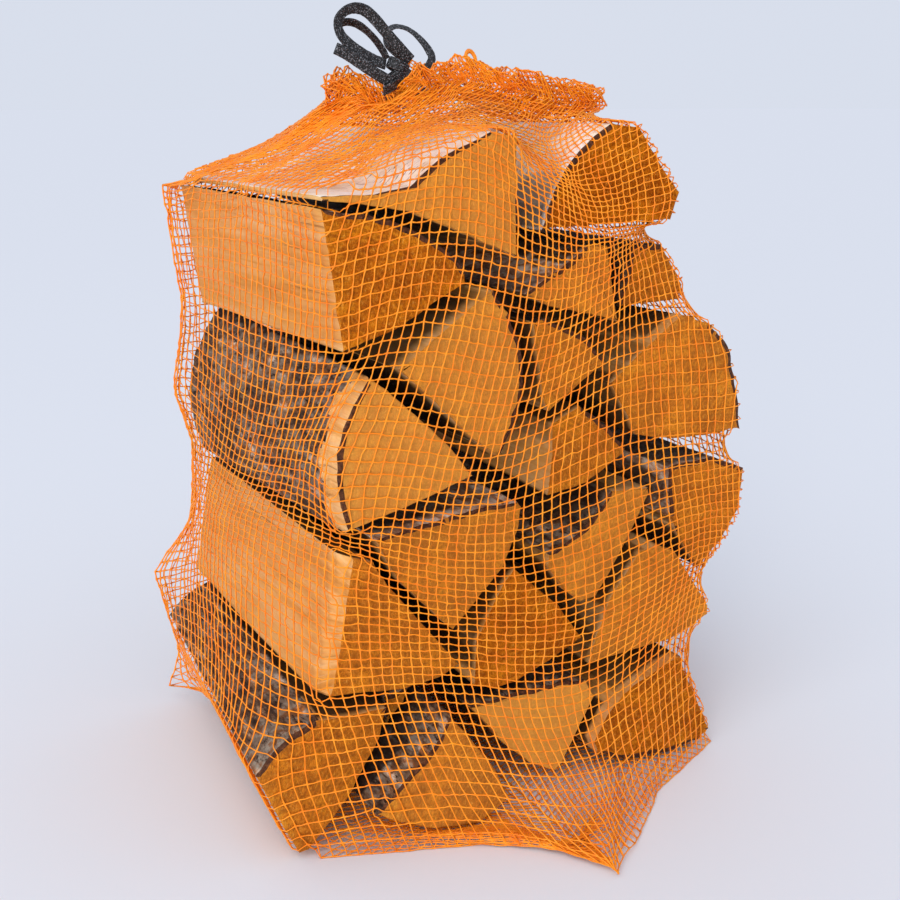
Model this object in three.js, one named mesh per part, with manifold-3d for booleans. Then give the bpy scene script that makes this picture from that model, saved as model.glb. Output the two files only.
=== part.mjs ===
// Firewood bundle: split birch and alder logs lying in a tied raschel net bag that stands upright.
// Millimetres, +Z up. While it is built, x runs along the front of the stack from its left corner,
// y runs along the logs from their front ends, and z is the height above the ground.
import * as THREE from 'three';
import { ConvexGeometry } from 'three/addons/geometries/ConvexGeometry.js';
import { mergeVertices } from 'three/addons/utils/BufferGeometryUtils.js';
import Module from 'manifold-3d';

const wasm = await Module();
wasm.setup();

// Driving dimensions
const LOG_LENGTH = 250; // the usual short stove length
const ARC_STEPS = 6; // facets on each round bark side
const NET_CLEARANCE = 0.8; // between the logs and the inside of the bag
const NET_OUTSIDE = 3; // from the logs to the outside of the bag
const NECK = { x: 140, y: 118, z: 474, radius: 12 }; // where the drawstring pulls the mouth shut
const NECK_HOLE_RADIUS = 8; // what the drawstring leaves open
const NECK_HALF_HEIGHT = 4; // of the short tube that the drawstring goes round
const FRILL = { radius: 24, height: 12, wall: 1.6 }; // net that stands above the drawstring
const CORD_RADIUS = 2.5;
const KNOT = { x: 131, y: 108, z: 488, radius: 6.5 };
const SIDES_ON_ROUNDS = 24;

// Colours, as the pieces show them in daylight
const END_GRAIN = 0xc8893c;
const SPLIT_WOOD = 0xefc98f;
const NET_ORANGE = 0xff8a1a;
const CORD_BLACK = 0x17171a;

// Each log is a section in x and z, drawn clockwise from its top left corner. A third number is how far
// the side that follows stands out as a round bark side. front is where its near end lies, and longer
// is what its length has over the usual one. backScale narrows or widens the far end, and lean moves it
// sideways and up.
const LOGS = [
  {
    name: 'log_top_left',
    section: [[26, 410], [46, 407, 6], [116, 376], [122, 367], [122, 361], [74, 336], [48, 328], [38, 325]],
    backScale: 1.05,
    lean: [-2, -1.5],
  },
  {
    name: 'log_top_middle',
    section: [
      [26, 417], [60, 417], [84, 421, 3], [126, 446], [140, 452], [158, 449],
      [160, 373], [82, 404.5], [46, 410], [26, 412.5],
    ],
  },
  {
    name: 'log_top_right',
    section: [[176, 390, 10], [228, 456], [250, 454], [267, 433], [286, 411], [279, 392]],
    backScale: 0.96,
    longer: 3,
  },
  {
    name: 'log_upper_wedge',
    section: [[164, 351], [214, 380], [228, 379], [240, 326], [212, 334], [184, 341]],
    backScale: 0.94,
    longer: -3,
  },
  {
    name: 'log_upper_recessed',
    section: [[256, 376], [281, 376], [302, 347], [299, 335], [247, 335]],
    front: 12,
    longer: -12,
  },
  {
    name: 'log_right_high',
    section: [[232, 287], [292, 329], [316, 321], [336, 303], [348, 262], [351, 240, 5], [256, 247], [239, 277]],
    backScale: 0.97,
    longer: 4,
  },
  {
    name: 'log_small_wedge',
    section: [[172, 333], [182, 334], [213, 320], [232, 301], [186, 272], [182, 278]],
    backScale: 0.95,
    front: 2,
  },
  {
    name: 'log_centre_quarter',
    section: [[72, 312], [141, 357, 22], [146, 245], [127, 260], [94, 292]],
    backScale: 0.95,
    longer: 2,
  },
  {
    name: 'log_left_dark_bark',
    section: [[54, 311], [68, 301], [94, 277], [113, 257], [128, 237], [94, 226], [57, 217], [37, 212, 16]],
    backScale: 1.13,
    lean: [-1, 2],
  },
  {
    name: 'log_left_pale',
    section: [[34, 199], [56, 192], [66, 175], [119, 108], [106, 101], [78, 98.5], [16, 107]],
    lean: [2, 4],
    longer: 2,
  },
  {
    name: 'log_centre',
    section: [[57, 205, 3], [162, 215], [166, 211], [165, 197], [153, 170], [113, 133], [109, 136], [73, 174]],
    backScale: 0.96,
    longer: -2,
  },
  {
    name: 'log_centre_wedge',
    section: [[188, 264], [211, 274], [233, 258], [250, 239], [248, 234], [218, 218], [186, 214], [189, 240]],
    backScale: 0.93,
    front: 2,
  },
  {
    name: 'log_right_middle',
    section: [[286, 221], [325, 224], [357, 211], [354, 178], [341, 158], [319, 138], [311, 146], [295, 170], [289, 183]],
    backScale: 0.95,
  },
  {
    name: 'log_lens',
    section: [[271, 210], [238, 211, 5], [187, 173], [186, 164], [200, 144], [214, 133], [227, 134, -2], [272, 204]],
    backScale: 0.96,
    longer: 3,
  },
  {
    name: 'log_right_low',
    section: [[263, 163], [282, 165], [296, 158], [311, 137], [331, 108], [331, 100], [297, 87], [222, 84], [238, 131]],
    backScale: 0.95,
    longer: -2,
  },
  {
    name: 'log_low_wedge',
    section: [[151, 159], [160, 169], [196, 136], [218, 106], [197, 96], [163, 84], [144, 83], [128, 89], [130, 122]],
    backScale: 0.96,
    longer: 1,
  },
  {
    name: 'log_bottom_middle',
    section: [[123, 76], [160, 77], [203, 77], [222, 72], [231, 59], [202, 11], [196, 7], [176, 17], [151, 40]],
    backScale: 0.96,
    longer: -1,
  },
  {
    name: 'log_bottom_right',
    section: [
      [278, 75], [297, 80], [301, 68], [328, 13], [318, 6], [290, 3], [248, 8], [224, 19], [220, 29],
      [231, 49], [246, 61],
    ],
    front: -12,
    longer: 12,
    backScale: 0.97,
  },
  {
    name: 'log_bottom_left',
    section: [[-29, 67, 5], [15, 95], [63, 92], [58, 71], [34, 34], [6, 4], [-2, 4], [-20, 44]],
    front: -3,
    longer: 3,
    backScale: 0.8,
    lean: [15, 14],
  },
  {
    name: 'log_bottom_centre',
    section: [[89, 77], [96, 90], [111, 70], [129, 44], [143, 16], [118, 3], [84, 9], [54, 24], [41, 33], [72, 60]],
    front: -28,
    longer: 24,
    backScale: 0.96,
  },
  {
    name: 'stick_between_logs',
    section: [[69, 89], [89, 93], [85, 80], [71, 68]],
    front: 16,
    longer: -22,
  },
];

// The bag's flat bottom rests on the ground, and its front edge is pulled out into one sewn corner.
const BAG_BOTTOM = [[0, -8], [60, -28], [140, -28], [332, -10], [334, 246], [6, 250]];
const BAG_CORNER = {
  tip: [[161, -120], [170, -119], [166, -112]],
  tipHeight: 9,
  root: [[104, -34, 0], [336, -6, 0], [330, -8, 26], [230, -12, 40], [118, -24, 22], [190, 20, 0], [190, 20, 30]],
};

// Routes of the flat drawstring's free stretches, from the knot
const CORD_ROUTES = {
  cord_loop_left_outer: [
    [139, 105, 495], [133, 104, 500], [126, 103, 506], [119, 103, 513], [112, 103, 520], [105, 103, 525],
    [97, 103, 526], [90, 103, 523], [86, 103, 517], [88, 103, 510], [94, 103, 504], [102, 103, 499],
    [111, 104, 495], [120, 104, 492],
  ],
  cord_loop_left_inner: [
    [128, 118, 496], [125, 119, 502], [120, 119, 508], [113, 119, 514], [105, 119, 518], [97, 119, 518],
    [93, 119, 513], [97, 119, 507], [104, 119, 502], [112, 119, 497], [120, 118, 492],
  ],
  cord_loop_right: [
    [140, 114, 496], [135, 119, 500], [131, 123, 506], [132, 125, 513], [138, 126, 517], [147, 126, 516],
    [155, 125, 511], [161, 123, 504], [163, 120, 497], [157, 116, 490], [148, 112, 486],
  ],
  cord_end_long: [
    [121, 97, 480], [115, 96, 483], [109, 96, 486], [102, 96, 490], [95, 96, 494], [88, 96, 498], [81, 96, 501],
  ],
};

/** A closed geometry with its doubled vertices merged, as a manifold solid. */
function solidOf(geometry) {
  const plain = geometry.clone();
  plain.deleteAttribute('normal');
  plain.deleteAttribute('uv');
  const merged = mergeVertices(plain, 1e-3);
  return new wasm.Manifold(
    new wasm.Mesh({
      numProp: 3,
      vertProperties: new Float32Array(merged.attributes.position.array),
      triVerts: new Uint32Array(merged.index.array),
    }),
  );
}

/** A manifold solid as a geometry. */
function geometryOf(solid) {
  const mesh = solid.getMesh();
  const geometry = new THREE.BufferGeometry();
  geometry.setAttribute('position', new THREE.BufferAttribute(mesh.vertProperties, 3));
  geometry.setIndex(new THREE.BufferAttribute(mesh.triVerts, 1));
  geometry.computeVertexNormals();
  return geometry;
}

/** A log's section as a shape, with its round sides as curves that stand out by their bulge. */
function sectionShape(corners) {
  const shape = new THREE.Shape();
  shape.moveTo(corners[0][0], corners[0][1]);
  corners.forEach(([x, z, bulge = 0], i) => {
    const [nextX, nextZ] = corners[(i + 1) % corners.length];
    if (bulge === 0) {
      shape.lineTo(nextX, nextZ);
      return;
    }
    const span = Math.hypot(nextX - x, nextZ - z);
    const outX = -(nextZ - z) / span;
    const outZ = (nextX - x) / span;
    const middleX = (x + nextX) / 2 + outX * 2 * bulge;
    const middleZ = (z + nextZ) / 2 + outZ * 2 * bulge;
    shape.quadraticCurveTo(middleX, middleZ, nextX, nextZ);
  });
  return shape;
}

/** A log: its section run along y, scaled and moved sideways and up towards the far end. */
function logGeometry({ section, front = 0, longer = 0, backScale = 1, lean = [0, 0] }) {
  const length = LOG_LENGTH + longer;
  const geometry = new THREE.ExtrudeGeometry(sectionShape(section), {
    depth: length,
    bevelEnabled: false,
    curveSegments: ARC_STEPS,
  });
  geometry.rotateX(Math.PI / 2);
  geometry.translate(0, front + length, 0);
  const middleX = section.reduce((sum, corner) => sum + corner[0], 0) / section.length;
  const middleZ = section.reduce((sum, corner) => sum + corner[1], 0) / section.length;
  const position = geometry.attributes.position;
  for (let i = 0; i < position.count; i += 1) {
    const along = (position.getY(i) - front) / length;
    const scale = 1 + (backScale - 1) * along;
    position.setX(i, middleX + (position.getX(i) - middleX) * scale + lean[0] * along);
    position.setZ(i, middleZ + (position.getZ(i) - middleZ) * scale + lean[1] * along);
  }
  geometry.computeVertexNormals();
  return geometry;
}

/** The convex solid around some points. */
function hull(points) {
  return solidOf(new ConvexGeometry(points));
}

/** Points a distance away from each given one, both ways along each axis. */
function grown(points, distance) {
  return points.flatMap((point) =>
    ['x', 'y', 'z'].flatMap((axis) =>
      [-distance, distance].map((step) => {
        const moved = point.clone();
        moved[axis] += step;
        return moved;
      }),
    ),
  );
}

/** Points on a level circle around the neck. */
function neckRing(radius, height) {
  return Array.from({ length: SIDES_ON_ROUNDS }, (_, i) => {
    const turn = (2 * Math.PI * i) / SIDES_ON_ROUNDS;
    return new THREE.Vector3(NECK.x + radius * Math.cos(turn), NECK.y + radius * Math.sin(turn), height);
  });
}

/** A closed profile of radii and heights, turned around the neck's upright axis. */
function turnedAroundNeck(profile) {
  const points = profile.map(([radius, height]) => new THREE.Vector2(radius, height));
  const geometry = new THREE.LatheGeometry(points, SIDES_ON_ROUNDS);
  geometry.rotateX(Math.PI / 2);
  geometry.translate(NECK.x, NECK.y, 0);
  return geometry;
}

/** The sewn bottom corner that sticks out in front, as a solid drawn in by an inset. */
function bagCorner(inset) {
  const tipPoints = BAG_CORNER.tip.flatMap(([x, y]) => [
    new THREE.Vector3(x, y + 3 * inset, inset),
    new THREE.Vector3(x, y + 3 * inset, BAG_CORNER.tipHeight - inset),
  ]);
  const rootPoints = BAG_CORNER.root.map(
    ([x, y, z]) => new THREE.Vector3(x, y + 4 * inset, z === 0 ? inset : z - 2 * inset),
  );
  return hull([...tipPoints, ...rootPoints]);
}

/** The net bag: a thin closed wall around the logs, with a mouth, a frill and one pulled-out corner. */
function netBagGeometry(logMeshes) {
  const logPoints = logMeshes.flatMap((log) => {
    const position = log.geometry.attributes.position;
    return Array.from({ length: position.count }, (_, i) => new THREE.Vector3().fromBufferAttribute(position, i));
  });
  const wall = NET_OUTSIDE - NET_CLEARANCE;
  const bottom = BAG_BOTTOM.map(([x, y]) => new THREE.Vector3(x, y, 0));
  const neckFoot = NECK.z - NECK_HALF_HEIGHT;
  const neckTop = NECK.z + NECK_HALF_HEIGHT;
  const frillTop = NECK.z + FRILL.height;
  const outside = hull([...grown(logPoints, NET_OUTSIDE), ...bottom, ...neckRing(NECK.radius, neckFoot)]);
  const inside = hull([...grown(logPoints, NET_CLEARANCE), ...neckRing(NECK.radius - wall, neckFoot - wall)]);
  const frill = solidOf(
    turnedAroundNeck([
      [NECK_HOLE_RADIUS, neckFoot - wall],
      [NECK.radius, neckFoot - wall],
      [NECK.radius, neckTop - FRILL.wall],
      [FRILL.radius, frillTop - FRILL.wall],
      [FRILL.radius, frillTop],
      [NECK_HOLE_RADIUS, neckTop],
      [NECK_HOLE_RADIUS, neckFoot - wall],
    ]),
  );
  const hole = solidOf(
    turnedAroundNeck([
      [0, neckFoot - 4 * wall],
      [NECK_HOLE_RADIUS + 0.1, neckFoot - 4 * wall],
      [NECK_HOLE_RADIUS + 0.1, frillTop],
      [0, frillTop],
    ]),
  );
  const shell = outside.add(bagCorner(0)).add(frill).subtract(inside).subtract(bagCorner(wall));
  return geometryOf(shell.subtract(hole));
}

/** A free stretch of the drawstring: a round-sided tube along its route. */
function cordGeometry(route) {
  const path = new THREE.CatmullRomCurve3(route.map((point) => new THREE.Vector3(...point)));
  const section = new THREE.Shape();
  section.absarc(0, 0, CORD_RADIUS, 0, 2 * Math.PI, false);
  const steps = Math.round(path.getLength() / (2 * 2 * CORD_RADIUS));
  return new THREE.ExtrudeGeometry(section, { steps, extrudePath: path, curveSegments: 8, bevelEnabled: false });
}

/** The turn of drawstring that closes the neck. */
function neckTurnGeometry() {
  const near = NECK.radius + 0.5;
  const far = near + 1.6;
  const low = NECK.z - 1;
  return turnedAroundNeck([
    [near, low],
    [far, low],
    [far, low + 2.4],
    [near, low + 2.4],
    [near, low],
  ]);
}

function knotGeometry() {
  const geometry = new THREE.SphereGeometry(KNOT.radius, 16, 10);
  geometry.translate(KNOT.x, KNOT.y, KNOT.z);
  return geometry;
}

function pieceMesh(name, geometry, color, roughness) {
  const mesh = new THREE.Mesh(geometry, new THREE.MeshStandardMaterial({ color, roughness, metalness: 0 }));
  mesh.name = name;
  return mesh;
}

const logMeshes = LOGS.map((log, i) => {
  const color = i % 3 === 0 ? SPLIT_WOOD : END_GRAIN;
  return pieceMesh(log.name, logGeometry(log), color, 0.8);
});
const netBag = pieceMesh('net_bag', netBagGeometry(logMeshes), NET_ORANGE, 0.5);
const cordMeshes = Object.entries(CORD_ROUTES).map(([name, route]) =>
  pieceMesh(name, cordGeometry(route), CORD_BLACK, 0.7),
);
cordMeshes.push(pieceMesh('cord_knot', knotGeometry(), CORD_BLACK, 0.7));
cordMeshes.push(pieceMesh('cord_neck_turn', neckTurnGeometry(), CORD_BLACK, 0.7));

// The origin is the middle of the bottom of the bag's own box.
const box = new THREE.Box3();
[...logMeshes, netBag].forEach((mesh) => box.expandByObject(mesh));
const bundle = new THREE.Group();
bundle.add(...logMeshes, netBag, ...cordMeshes);
bundle.position.set(-(box.min.x + box.max.x) / 2, -(box.min.y + box.max.y) / 2, -box.min.z);
bundle.updateMatrixWorld(true);

export default bundle;
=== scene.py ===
import math

import bmesh
import bpy
import numpy as np
from mathutils import Matrix, Vector, noise


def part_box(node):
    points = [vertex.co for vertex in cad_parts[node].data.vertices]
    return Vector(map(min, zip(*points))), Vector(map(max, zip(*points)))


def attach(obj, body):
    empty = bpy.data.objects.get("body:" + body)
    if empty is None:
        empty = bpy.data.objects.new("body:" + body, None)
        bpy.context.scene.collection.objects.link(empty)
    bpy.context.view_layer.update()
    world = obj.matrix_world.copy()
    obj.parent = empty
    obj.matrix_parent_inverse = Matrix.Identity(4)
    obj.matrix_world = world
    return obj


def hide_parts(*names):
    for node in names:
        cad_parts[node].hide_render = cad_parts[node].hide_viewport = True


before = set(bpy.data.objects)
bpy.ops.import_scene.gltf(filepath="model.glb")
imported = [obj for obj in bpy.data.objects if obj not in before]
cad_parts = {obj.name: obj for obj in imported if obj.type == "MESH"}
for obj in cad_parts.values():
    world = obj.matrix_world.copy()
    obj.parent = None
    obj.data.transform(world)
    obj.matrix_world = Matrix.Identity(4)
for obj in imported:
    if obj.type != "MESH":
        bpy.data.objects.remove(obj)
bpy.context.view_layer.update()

MM = 0.001
SKEW = math.radians(-29.1)  # how far to the left of the front the viewer stands
LENS_MM = 50.5
EYE = (-426.8, -739.0, 466.6)  # in mm
LOOKS_DOWN = 15.3  # degrees

# Steps of the log skins, and the thickness of bark
OUTLINE_STEP = 2.6 * MM
LENGTH_STEP = 3.4 * MM
BARK_THICK = 2.6 * MM
BARE_RIM = 1.2 * MM  # around the ends of logs that have no bark


# ---------------------------------------------------------------- camera, floor and light
def add_camera():
    eye = Vector(EYE) * MM
    data = bpy.data.cameras.new("camera")
    data.lens = LENS_MM
    data.sensor_width = 36.0
    camera = bpy.data.objects.new("camera", data)
    camera.location = eye
    camera.rotation_euler = (math.radians(90 - LOOKS_DOWN), 0.0, SKEW)
    bpy.context.scene.collection.objects.link(camera)
    bpy.context.scene.camera = camera


def add_lamp(name, kind, place, aim, energy, colour, size):
    data = bpy.data.lights.new(name, kind)
    data.energy = energy
    data.color = colour
    if kind == "SUN":
        data.angle = math.radians(size)
    else:
        data.shape = "DISK"
        data.size = size
    lamp = bpy.data.objects.new(name, data)
    lamp.location = place
    lamp.rotation_euler = (Vector(aim) - Vector(place)).to_track_quat("-Z", "Y").to_euler()
    bpy.context.scene.collection.objects.link(lamp)


def add_surroundings():
    world = bpy.data.worlds.new("studio")
    world.use_nodes = True
    background = world.node_tree.nodes["Background"]
    background.inputs["Color"].default_value = (0.690, 0.735, 0.838, 1.0)
    background.inputs["Strength"].default_value = 1.0
    bpy.context.scene.world = world
    bpy.context.scene.view_settings.view_transform = "Standard"
    bm = bmesh.new()
    bmesh.ops.create_grid(bm, x_segments=1, y_segments=1, size=120.0)
    mesh = bpy.data.meshes.new("floor")
    bm.to_mesh(mesh)
    bm.free()
    floor = bpy.data.objects.new("floor", mesh)
    bpy.context.scene.collection.objects.link(floor)
    matt = bpy.data.materials.new("floor_paper")
    matt.use_nodes = True
    shader = matt.node_tree.nodes["Principled BSDF"]
    shader.inputs["Base Color"].default_value = (0.762, 0.772, 0.800, 1.0)
    shader.inputs["Roughness"].default_value = 1.0
    shader.inputs["Specular IOR Level"].default_value = 0.0
    mesh.materials.append(matt)
    middle = Vector((0.0, 0.0, 0.25))
    add_lamp("window", "SUN", (-1.1, -0.9, 1.65), middle, 1.0, (1.0, 1.0, 1.0), 50.0)
    add_lamp("soft_box", "AREA", (-2.0, -2.2, 0.55), middle, 34.0, (1.0, 0.99, 0.98), 1.0)


# ---------------------------------------------------------------- materials
class Nodes:
    """Short words for building a material's node tree."""

    def __init__(self, name):
        self.material = bpy.data.materials.new(name)
        self.material.use_nodes = True
        self.tree = self.material.node_tree
        self.shader = self.tree.nodes["Principled BSDF"]

    def add(self, kind, **inputs):
        node = self.tree.nodes.new(kind)
        for key, value in inputs.items():
            self.put(node.inputs[key.replace("_", " ")], value)
        return node

    def put(self, socket, value):
        if isinstance(value, bpy.types.NodeSocket):
            self.tree.links.new(value, socket)
        else:
            socket.default_value = value

    def noise(self, vector, scale, detail=4.0, roughness=0.6, distortion=0.0):
        node = self.add(
            "ShaderNodeTexNoise", Vector=vector, Scale=scale, Detail=detail, Roughness=roughness,
            Distortion=distortion,
        )
        return node.outputs["Fac"]

    def stretch(self, vector, scale):
        return self.add("ShaderNodeMapping", Vector=vector, Scale=scale).outputs["Vector"]

    def ramp(self, factor, *stops):
        node = self.add("ShaderNodeValToRGB", Fac=factor)
        ramp = node.color_ramp
        while len(ramp.elements) < len(stops):
            ramp.elements.new(0.5)
        for element, (place, colour) in zip(ramp.elements, stops):
            element.position = place
            element.color = (*colour, 1.0) if len(colour) == 3 else colour
        return node.outputs["Color"]

    def levels(self, factor, low, high, to_low=0.0, to_high=1.0):
        node = self.add("ShaderNodeMapRange", Value=factor)
        for key, value in (("From Min", low), ("From Max", high), ("To Min", to_low), ("To Max", to_high)):
            node.inputs[key].default_value = value
        return node.outputs["Result"]

    def math(self, operation, a, b=0.0):
        node = self.tree.nodes.new("ShaderNodeMath")
        node.operation = operation
        self.put(node.inputs[0], a)
        self.put(node.inputs[1], b)
        return node.outputs[0]

    def mix(self, factor, a, b, blend="MIX"):
        node = self.tree.nodes.new("ShaderNodeMix")
        node.data_type = "RGBA"
        node.blend_type = blend
        self.put(node.inputs[0], factor)
        self.put(node.inputs[6], (*a, 1.0) if isinstance(a, tuple) and len(a) == 3 else a)
        self.put(node.inputs[7], (*b, 1.0) if isinstance(b, tuple) and len(b) == 3 else b)
        return node.outputs[2]

    def bump(self, height, distance, strength):
        node = self.add("ShaderNodeBump", Height=height, Strength=strength, Distance=distance)
        return node.outputs["Normal"]

    def finish(self, colour, roughness, normal, specular=0.3):
        self.put(self.shader.inputs["Base Color"], colour)
        self.put(self.shader.inputs["Roughness"], roughness)
        self.shader.inputs["Specular IOR Level"].default_value = specular
        self.put(self.shader.inputs["Normal"], normal)
        return self.material


def skin(n):
    """The log's own map in metres: along outline and length on the sides, from the pith on the ends."""
    return n.add("ShaderNodeUVMap").outputs["UV"]


def tone(n):
    node = n.tree.nodes.new("ShaderNodeAttribute")
    node.attribute_name = "tone"
    return node.outputs["Fac"]


def painted_gap_shade(n, colour):
    """The colour with painted shade mixed in: darker where another log lies close in front of it."""
    node = n.tree.nodes.new("ShaderNodeAttribute")
    node.attribute_name = "painted_gap_shade"
    # painted shade: mixes the colour towards a near-black red-brown by the share stored on the log
    return n.mix(n.math("MULTIPLY", node.outputs["Fac"], GAP_SHADE_DARKNESS), colour, (0.016, 0.0035, 0.001))


def end_grain():
    n = Nodes("end_grain")
    flat = skin(n)
    place = n.add("ShaderNodeTexCoord").outputs["Object"]
    wander = n.noise(place, 38.0, 3.0)
    length = n.tree.nodes.new("ShaderNodeVectorMath")
    length.operation = "LENGTH"
    n.put(length.inputs[0], flat)
    radius = n.math("ADD", length.outputs["Value"], n.math("MULTIPLY", wander, 0.006))
    rings = n.levels(n.math("SINE", n.math("MULTIPLY", radius, 2 * math.pi / 0.0036)), -1.0, 1.0)
    fine = n.levels(n.math("SINE", n.math("MULTIPLY", radius, 2 * math.pi / 0.0013)), -1.0, 1.0)
    fuzz = n.noise(n.stretch(place, (1.0, 1.0, 0.45)), 800.0, 5.0, 0.8, 0.6)
    saw = n.noise(n.stretch(flat, (0.16, 1.0, 1.0)), 340.0, 4.0, 0.7)
    mottle = n.noise(place, 42.0, 4.0, 0.6)
    base = n.ramp(
        mottle, (0.32, (0.34, 0.072, 0.001)), (0.50, (0.56, 0.145, 0.002)), (0.66, (0.74, 0.24, 0.005)),
    )
    worn = n.levels(n.noise(place, 90.0, 3.0), 0.38, 0.62)
    base = n.mix(n.math("MULTIPLY", n.math("MULTIPLY", rings, worn), 0.62), base, (0.22, 0.040, 0.0010))
    base = n.mix(n.math("MULTIPLY", fine, 0.16), base, (0.24, 0.045, 0.0010))
    base = n.mix(n.levels(saw, 0.50, 0.66, 0.0, 0.62), base, (0.20, 0.036, 0.0010))
    base = n.mix(n.levels(fuzz, 0.51, 0.63, 0.0, 0.80), base, (0.13, 0.024, 0.0010))
    base = n.mix(n.levels(fuzz, 0.46, 0.32, 0.0, 0.50), base, (0.94, 0.50, 0.085))
    base = n.mix(n.levels(tone(n), 0.0, 1.0, 0.0, 0.80), base, (0.93, 0.46, 0.085))
    height = n.math("ADD", fuzz, n.math("MULTIPLY", saw, 0.6))
    return n.finish(base, 0.9, n.bump(height, 0.0009, 0.7), specular=0.05)


def split_wood():
    n = Nodes("split_wood")
    flat = skin(n)
    fibre = n.noise(n.stretch(flat, (1.0, 0.045, 1.0)), 420.0, 6.0, 0.65)
    streak = n.noise(n.stretch(flat, (1.0, 0.10, 1.0)), 60.0, 4.0, 0.6)
    base = n.ramp(
        streak, (0.28, (0.62, 0.27, 0.055)), (0.48, (0.86, 0.48, 0.155)), (0.70, (0.97, 0.71, 0.37)),
    )
    base = n.mix(n.levels(fibre, 0.55, 0.75, 0.0, 0.55), base, (0.45, 0.15, 0.020))
    base = n.mix(n.levels(fibre, 0.45, 0.28, 0.0, 0.45), base, (0.98, 0.78, 0.46))
    base = n.mix(n.levels(tone(n), 0.0, 1.0, 0.5, 0.0), base, (0.66, 0.24, 0.030))
    torn = n.noise(n.stretch(flat, (1.0, 0.022, 1.0)), 210.0, 3.0, 0.55)
    base = n.mix(n.levels(torn, 0.66, 0.72, 0.0, 0.7), base, (0.20, 0.060, 0.010))
    base = painted_gap_shade(n, base)
    height = n.math("SUBTRACT", fibre, n.levels(torn, 0.64, 0.72, 0.0, 0.8))
    return n.finish(base, 0.8, n.bump(height, 0.0014, 0.7), specular=0.15)


def white_bark():
    n = Nodes("white_bark")
    flat = skin(n)
    cloud = n.noise(flat, 30.0, 4.0, 0.6)
    base = n.ramp(
        cloud, (0.32, (0.74, 0.48, 0.26)), (0.46, (0.96, 0.84, 0.66)), (0.62, (1.0, 0.97, 0.90)),
    )
    dashes = n.noise(n.stretch(flat, (0.22, 1.0, 1.0)), 520.0, 3.0, 0.5)
    patch = n.noise(flat, 14.0, 2.0)
    marks = n.math("MULTIPLY", n.levels(dashes, 0.56, 0.66), n.levels(patch, 0.40, 0.62))
    base = n.mix(marks, base, (0.16, 0.07, 0.035))
    curls = n.levels(n.noise(n.stretch(flat, (1.0, 0.4, 1.0)), 90.0, 5.0, 0.7), 0.60, 0.70)
    base = n.mix(n.math("MULTIPLY", curls, 0.8), base, (0.36, 0.22, 0.15))
    height = n.math("SUBTRACT", n.noise(flat, 160.0, 5.0, 0.7), n.math("MULTIPLY", marks, 0.5))
    base = painted_gap_shade(n, base)
    return n.finish(base, 0.6, n.bump(height, 0.0012, 0.6))


def dark_bark():
    n = Nodes("dark_bark")
    flat = skin(n)
    plates = n.add(
        "ShaderNodeTexVoronoi", Vector=n.stretch(flat, (1.0, 0.30, 1.0)), Scale=110.0, Randomness=1.0
    ).outputs["Distance"]
    rough = n.noise(n.stretch(flat, (1.0, 0.30, 1.0)), 170.0, 6.0, 0.8)
    cloud = n.noise(n.stretch(flat, (1.0, 0.30, 1.0)), 50.0, 4.0, 0.65)
    hue = n.noise(flat, 70.0, 3.0)
    tint = n.ramp(hue, (0.38, (0.58, 0.40, 0.27)), (0.50, (0.95, 0.76, 0.56)), (0.60, (0.66, 0.24, 0.065)))
    base = n.ramp(
        rough, (0.38, (0.018, 0.008, 0.004)), (0.50, (0.25, 0.110, 0.048)), (0.60, (0.70, 0.42, 0.22)),
    )
    flakes = n.math("MULTIPLY", n.levels(cloud, 0.46, 0.54), n.levels(rough, 0.40, 0.50))
    base = n.mix(flakes, base, tint)
    base = n.mix(n.levels(plates, 0.10, 0.40, 0.0, 0.7), base, (0.014, 0.008, 0.006))
    height = n.math("ADD", rough, n.math("MULTIPLY", plates, -0.6))
    base = painted_gap_shade(n, base)
    return n.finish(base, 0.85, n.bump(height, 0.0022, 0.8))


def pink_bark():
    n = Nodes("flaky_pink_bark")
    flat = skin(n)
    layers = n.noise(n.stretch(flat, (1.0, 0.5, 1.0)), 110.0, 6.0, 0.7, 0.8)
    cloud = n.noise(flat, 24.0, 3.0)
    base = n.ramp(
        layers, (0.34, (0.12, 0.050, 0.026)), (0.46, (0.60, 0.28, 0.13)), (0.58, (0.92, 0.76, 0.60)),
    )
    base = n.mix(n.levels(cloud, 0.48, 0.66, 0.0, 0.7), base, (0.20, 0.13, 0.10))
    base = painted_gap_shade(n, base)
    return n.finish(base, 0.8, n.bump(layers, 0.002, 0.8))


def bark_edge():
    n = Nodes("bark_edge")
    place = n.add("ShaderNodeTexCoord").outputs["Object"]
    rough = n.noise(place, 420.0, 5.0, 0.7)
    base = n.ramp(
        rough, (0.32, (0.020, 0.007, 0.003)), (0.55, (0.095, 0.030, 0.010)), (0.75, (0.26, 0.10, 0.035)),
    )
    return n.finish(base, 0.85, n.bump(rough, 0.0012, 0.8))


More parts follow.
